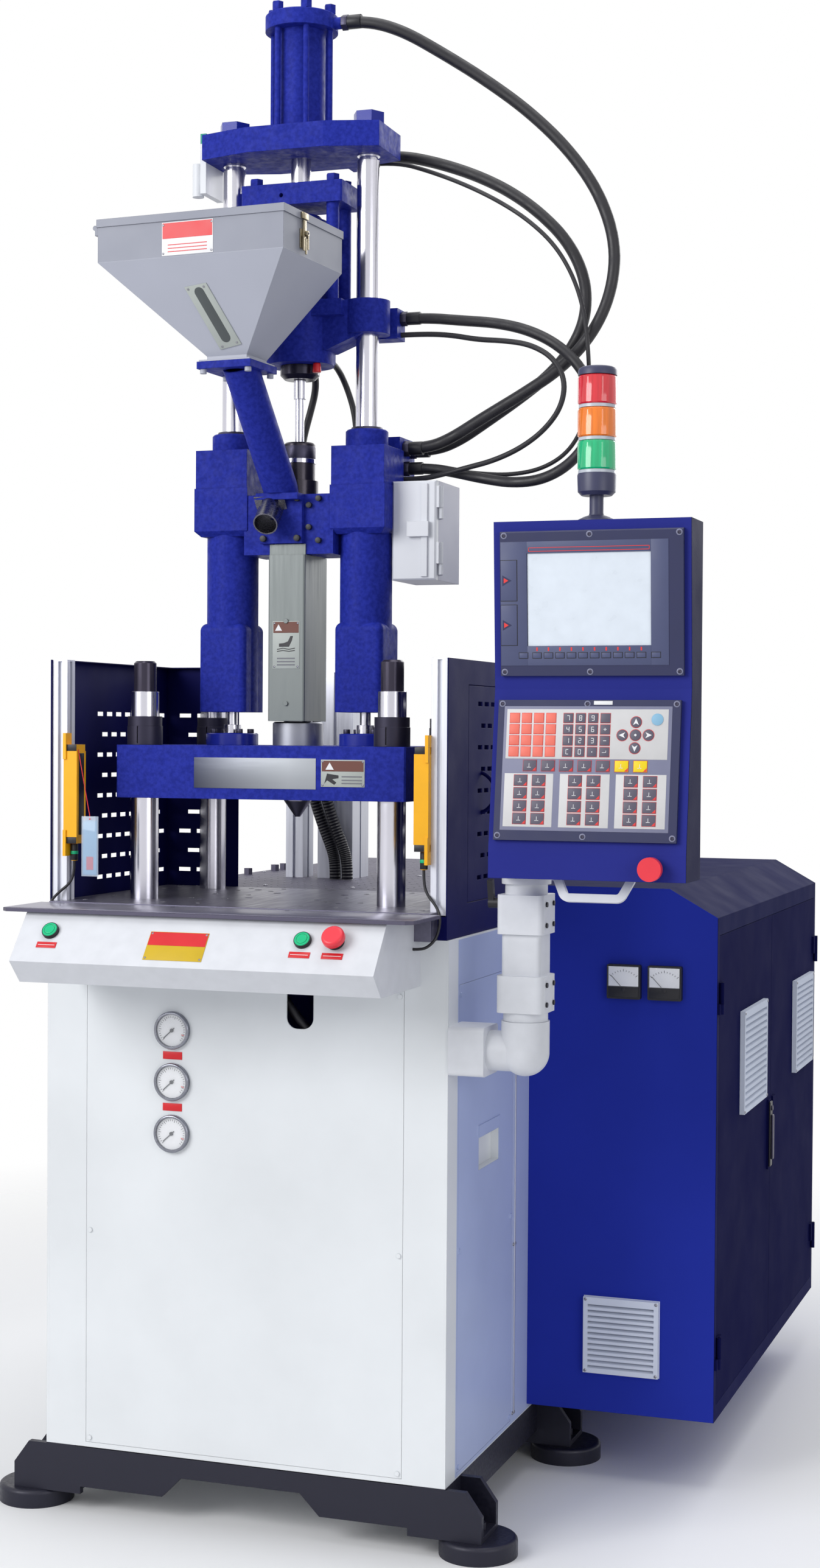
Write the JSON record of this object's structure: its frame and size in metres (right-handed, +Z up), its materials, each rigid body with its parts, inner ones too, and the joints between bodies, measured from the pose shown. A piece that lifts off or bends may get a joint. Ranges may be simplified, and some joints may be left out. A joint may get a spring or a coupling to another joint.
{
  "type": "vertical injection moulding machine",
  "caption": "Vertical injection moulding machine with screw unit, hopper, table bed, side guards, swivel control panel, signal tower and electrical cabinet",
  "frame": {"origin": "The middle of the footprint, on the floor", "axes": "+X to the operator's right, +Y to the back, +Z up"},
  "size_m": [1.332, 1.9058, 2.809],
  "materials": {
    "blue_paint": "satin",
    "white_paint": "satin",
    "black_paint": "satin",
    "bright_steel": "polished",
    "machined_steel": "brushed",
    "dark_steel": "dark",
    "aluminium": "anodised",
    "yellow_plastic": "matte",
    "black_plastic": "matte",
    "grey_membrane": "matte",
    "lcd_glass": "clear",
    "lamp_plastic": "gloss",
    "green_plastic": "gloss",
    "red_plastic": "gloss",
    "black_rubber": "matte"
  },
  "bodies": {
    "base": {"base_frame": "black_paint", "leveling_feet": "dark_steel", "base_cabinet": "white_paint", "access_panels": "white_paint", "console": "white_paint", "table_bed": "white_paint", "deck_plates": "white_paint", "profile_posts": "aluminium", "perforated_guards": "blue_paint", "light_curtains": "yellow_plastic", "pressure_gauges": "black_plastic", "electrical_cabinet": "blue_paint", "panel_meters": "black_plastic", "electrical_panel": "white_paint", "hydraulic_unit": "white_paint", "arm_elbow": "white_paint", "clamp_hose": "black_rubber", "post_conduits": "black_rubber", "curtain_cables": "black_rubber"},
    "clamp": {"platen": "blue_paint", "tie_bars": "bright_steel", "platen_collars": "dark_steel", "clamp_crosshead": "machined_steel", "seat_rods": "bright_steel"},
    "injection_unit": {"injection_frame": "blue_paint", "guide_columns": "bright_steel", "top_plate": "blue_paint", "injection_cylinder": "blue_paint", "cylinder_tie_rods": "blue_paint", "barrel": "dark_steel", "barrel_cover": "machined_steel", "feed_chute": "blue_paint", "hopper": "machined_steel", "junction_box": "white_paint", "position_transducer": "aluminium", "drain_spout": "machined_steel", "injection_hoses": "black_rubber", "signal_cables": "black_rubber", "motor_hoses": "black_rubber"},
    "crosshead_unit": {"crosshead": "blue_paint", "push_plate": "blue_paint", "piston_rod": "bright_steel", "screw_motor": "blue_paint"},
    "screw_body": {"screw": "bright_steel"},
    "hopper_cover": {"hopper_lid": "machined_steel"},
    "box_cover": {"junction_box_lid": "white_paint"},
    "panel_arm": {"swivel_arm": "white_paint", "panel_housing": "blue_paint", "panel_bezels": "grey_membrane", "display_screen": "lcd_glass", "panel_handle": "white_paint", "signal_tower": "lamp_plastic"},
    "arm_lever": {"clamp_lever": "black_plastic"},
    "panel_stop_button": {"panel_stop": "red_plastic"},
    "start_left": {"start_button_left": "green_plastic"},
    "start_right": {"start_button_right": "green_plastic"},
    "console_stop_button": {"console_stop": "red_plastic"},
    "side_door": {"guard_door": "blue_paint"},
    "front_leaf": {"cabinet_door_front": "blue_paint"},
    "rear_leaf": {"cabinet_door_rear": "blue_paint"}
  },
  "joints": [
    {"name": "clamp_lift", "type": "slide", "parent": "base", "child": "clamp", "axis": [0, 0, 1], "range_m": [0, 0.2]},
    {"name": "seat_lift", "type": "slide", "parent": "clamp", "child": "injection_unit", "axis": [0, 0, 1], "range_m": [0, 0.15]},
    {"name": "injection_stroke", "type": "slide", "parent": "injection_unit", "child": "crosshead_unit", "axis": [0, 0, -1], "range_m": [0, 0.11]},
    {"name": "screw_turn", "type": "hinge", "parent": "crosshead_unit", "child": "screw_body", "pos_m": [-0.16, -0.451, 2], "axis": [0, 0, 1], "continuous": true},
    {"name": "hopper_lid_hinge", "type": "hinge", "parent": "injection_unit", "child": "hopper_cover", "pos_m": [-0.42152, -0.65095, 2.347], "axis": [-0.0628, -0.998, 0], "range_deg": [0, 105]},
    {"name": "box_lid_hinge", "type": "hinge", "parent": "injection_unit", "child": "box_cover", "pos_m": [0.1228, -0.45115, 1.82], "axis": [0, 0, 1], "range_deg": [0, 110]},
    {"name": "panel_swivel", "type": "hinge", "parent": "base", "child": "panel_arm", "pos_m": [0.358, -0.673, 0.946], "axis": [0, 0, 1], "range_deg": [-45, 90]},
    {"name": "lever_turn", "type": "hinge", "parent": "panel_arm", "child": "arm_lever", "pos_m": [0.3, -0.691, 1.15], "axis": [1, 0, 0], "range_deg": [-30, 30]},
    {"name": "panel_stop_press", "type": "slide", "parent": "panel_arm", "child": "panel_stop_button", "axis": [0, 1, 0], "range_m": [0, 0.004], "stiffness_N_per_m": 600, "springref_m": -0.003},
    {"name": "start_left_press", "type": "slide", "parent": "base", "child": "start_left", "axis": [0, 0.7837, -0.6212], "range_m": [0, 0.004], "stiffness_N_per_m": 600, "springref_m": -0.003},
    {"name": "start_right_press", "type": "slide", "parent": "base", "child": "start_right", "axis": [0, 0.7837, -0.6212], "range_m": [0, 0.004], "stiffness_N_per_m": 600, "springref_m": -0.003},
    {"name": "console_stop_press", "type": "slide", "parent": "base", "child": "console_stop_button", "axis": [0, 0.7837, -0.6212], "range_m": [0, 0.004], "stiffness_N_per_m": 600, "springref_m": -0.003},
    {"name": "guard_door_hinge", "type": "hinge", "parent": "base", "child": "side_door", "pos_m": [0.231, -0.226, 1.336], "axis": [0, 0, 1], "range_deg": [0, 90]},
    {"name": "front_leaf_hinge", "type": "hinge", "parent": "base", "child": "front_leaf", "pos_m": [0.605, -0.187, 0.6], "axis": [0, 0, -1], "range_deg": [0, 110]},
    {"name": "rear_leaf_hinge", "type": "hinge", "parent": "base", "child": "rear_leaf", "pos_m": [0.605, 0.924, 0.6], "axis": [0, 0, 1], "range_deg": [0, 110]}
  ]
}
